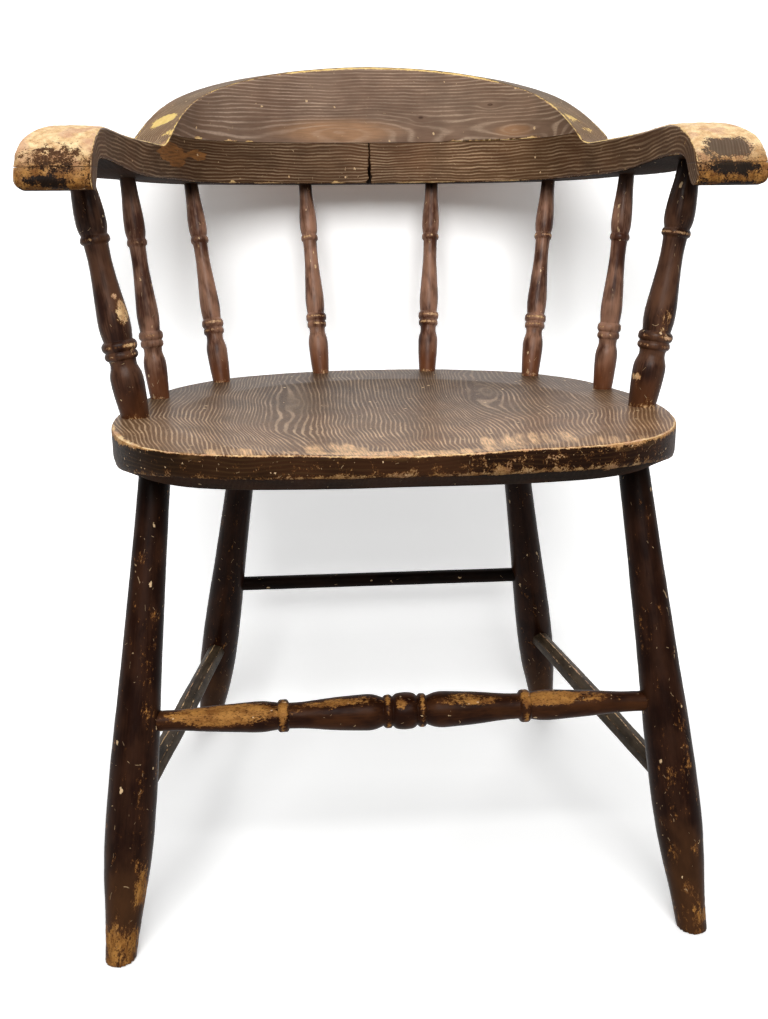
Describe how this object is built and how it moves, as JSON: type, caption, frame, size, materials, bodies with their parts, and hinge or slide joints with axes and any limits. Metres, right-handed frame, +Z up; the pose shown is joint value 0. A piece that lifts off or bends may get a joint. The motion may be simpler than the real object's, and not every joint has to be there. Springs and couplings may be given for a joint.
{
  "type": "captains chair",
  "caption": "Low-back wooden armchair with a saddled plank seat, turned legs and spindles, and a horseshoe arm rail with rolled ends under a raised crest.",
  "frame": {"origin": "on the floor under the middle of the chair", "axes": "+Z up, +Y towards the back of the chair, +X to the right as seen from the front"},
  "size_m": [0.5744, 0.528, 0.7554],
  "materials": {
    "seat_wood": "old dark brown grained paint, worn",
    "leg_wood": "old dark brown paint, satin, chipped",
    "stretcher_wood": "greyish brown worn paint",
    "spindle_wood": "old red-brown paint, satin",
    "bow_wood": "old dark brown grained paint, worn to ochre on the arm ends"
  },
  "bodies": {
    "root": {"seat": "seat_wood", "leg_front_right": "leg_wood", "leg_front_left": "leg_wood", "leg_rear_right": "leg_wood", "leg_rear_left": "leg_wood", "stretcher_front": "leg_wood", "stretcher_rear": "leg_wood", "stretcher_right": "stretcher_wood", "stretcher_left": "stretcher_wood", "arm_post_right": "spindle_wood", "arm_post_left": "spindle_wood", "spindle_inner_right": "spindle_wood", "spindle_inner_left": "spindle_wood", "spindle_middle_right": "spindle_wood", "spindle_middle_left": "spindle_wood", "spindle_outer_right": "spindle_wood", "spindle_outer_left": "spindle_wood", "arm_rail_right": "bow_wood", "arm_rail_left": "bow_wood", "arm_scroll_block_right": "bow_wood", "arm_scroll_block_left": "bow_wood", "crest": "bow_wood"}
  },
  "joints": []
}
